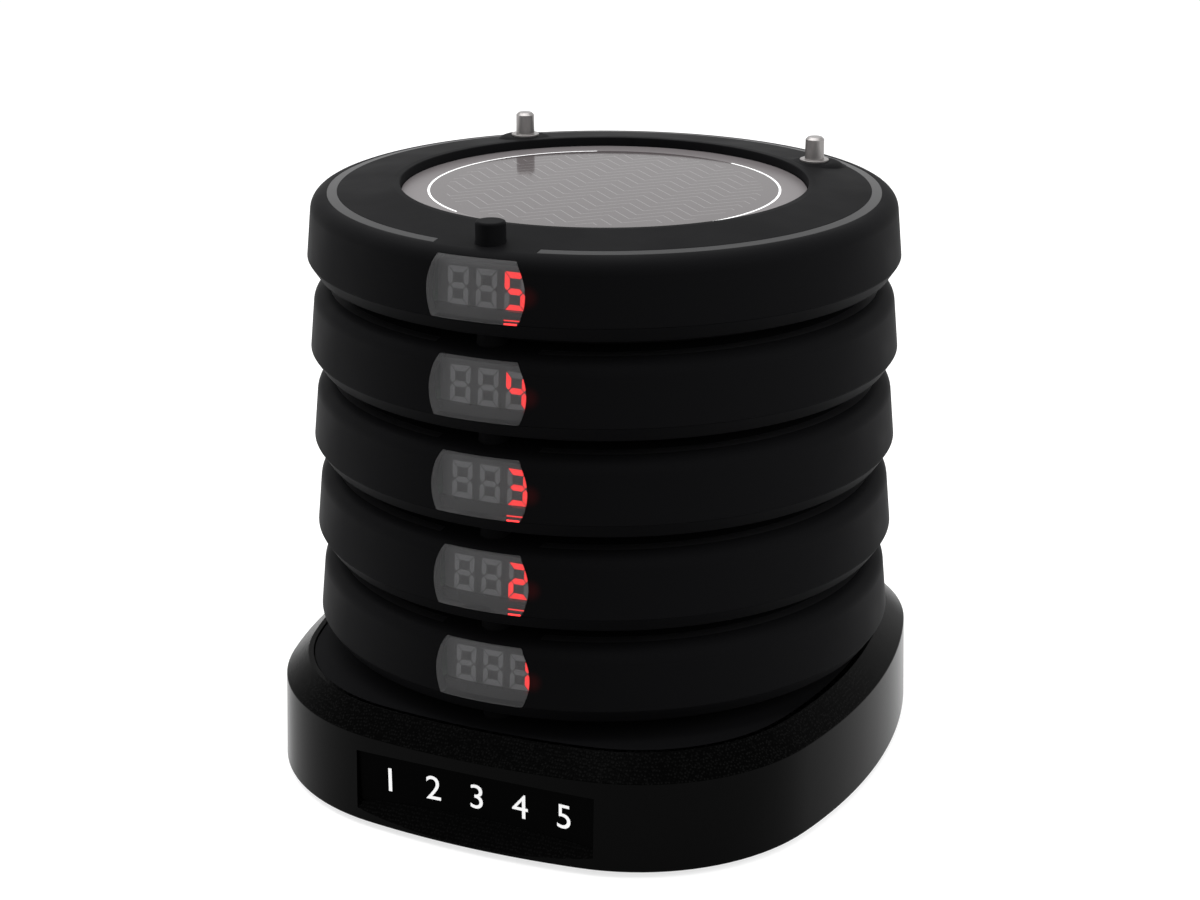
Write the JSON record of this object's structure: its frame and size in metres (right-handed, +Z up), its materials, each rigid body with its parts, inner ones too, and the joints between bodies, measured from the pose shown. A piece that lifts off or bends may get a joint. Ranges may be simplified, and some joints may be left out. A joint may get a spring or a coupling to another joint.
{
  "type": "guest pager system",
  "caption": "Round guest pagers with numbered red displays, light rings and contact pins, stacked on a square charging base with a blank marking plate.",
  "frame": {"origin": "on the surface the rubber feet stand on, under the middle of the base and the pager stack", "axes": "+Z up along the stack; the displays and the marking plate face -Y; +X is right from the front"},
  "size_m": [0.1122, 0.119, 0.112],
  "materials": {
    "case_black": "fine matte moulding",
    "plate_black": "smooth",
    "foot_rubber": "matte",
    "screw_steel": "zinc plated",
    "contact_metal": "nickel plated and turned",
    "board_green": "solder mask",
    "inlet_black": "smooth",
    "ring_smoke": "smoke coloured, lets light through",
    "disc_grey": "printed on its back and glossy",
    "window_smoke": "tinted and glossy",
    "display_grey": "segments moulded in",
    "battery_wrap": "shrink wrap"
  },
  "bodies": {
    "base": {"base_housing": "case_black", "base_top_cover": "case_black", "base_bottom_cover": "case_black", "base_marking_plate": "plate_black", "base_rubber_feet": "foot_rubber", "base_cover_screws": "screw_steel", "base_contact_posts": "contact_metal", "base_circuit_board": "board_green", "base_power_inlet": "inlet_black", "base_inlet_pin": "contact_metal"},
    "pager_1": {"pager_1_upper_case": "case_black", "pager_1_lower_case": "case_black", "pager_1_light_ring": "ring_smoke", "pager_1_face_disc": "disc_grey", "pager_1_display_window": "window_smoke", "pager_1_display_module": "display_grey", "pager_1_circuit_board": "board_green", "pager_1_battery": "battery_wrap", "pager_1_contact_posts": "contact_metal", "pager_1_case_screws": "screw_steel"},
    "pager_2": {"pager_2_upper_case": "case_black", "pager_2_lower_case": "case_black", "pager_2_light_ring": "ring_smoke", "pager_2_face_disc": "disc_grey", "pager_2_display_window": "window_smoke", "pager_2_display_module": "display_grey", "pager_2_circuit_board": "board_green", "pager_2_battery": "battery_wrap", "pager_2_contact_posts": "contact_metal", "pager_2_case_screws": "screw_steel"},
    "pager_3": {"pager_3_upper_case": "case_black", "pager_3_lower_case": "case_black", "pager_3_light_ring": "ring_smoke", "pager_3_face_disc": "disc_grey", "pager_3_display_window": "window_smoke", "pager_3_display_module": "display_grey", "pager_3_circuit_board": "board_green", "pager_3_battery": "battery_wrap", "pager_3_contact_posts": "contact_metal", "pager_3_case_screws": "screw_steel"},
    "pager_4": {"pager_4_upper_case": "case_black", "pager_4_lower_case": "case_black", "pager_4_light_ring": "ring_smoke", "pager_4_face_disc": "disc_grey", "pager_4_display_window": "window_smoke", "pager_4_display_module": "display_grey", "pager_4_circuit_board": "board_green", "pager_4_battery": "battery_wrap", "pager_4_contact_posts": "contact_metal", "pager_4_case_screws": "screw_steel"},
    "pager_5": {"pager_5_upper_case": "case_black", "pager_5_lower_case": "case_black", "pager_5_light_ring": "ring_smoke", "pager_5_face_disc": "disc_grey", "pager_5_display_window": "window_smoke", "pager_5_display_module": "display_grey", "pager_5_circuit_board": "board_green", "pager_5_battery": "battery_wrap", "pager_5_contact_posts": "contact_metal", "pager_5_case_screws": "screw_steel"}
  },
  "joints": [
    {"name": "pager_1_lift", "type": "slide", "parent": "base", "child": "pager_1", "axis": [0, 0, 1], "range_m": [0, 0.025]},
    {"name": "pager_2_lift", "type": "slide", "parent": "pager_1", "child": "pager_2", "axis": [0, 0, 1], "range_m": [0, 0.025]},
    {"name": "pager_3_lift", "type": "slide", "parent": "pager_2", "child": "pager_3", "axis": [0, 0, 1], "range_m": [0, 0.025]},
    {"name": "pager_4_lift", "type": "slide", "parent": "pager_3", "child": "pager_4", "axis": [0, 0, 1], "range_m": [0, 0.025]},
    {"name": "pager_5_lift", "type": "slide", "parent": "pager_4", "child": "pager_5", "axis": [0, 0, 1], "range_m": [0, 0.025]}
  ]
}
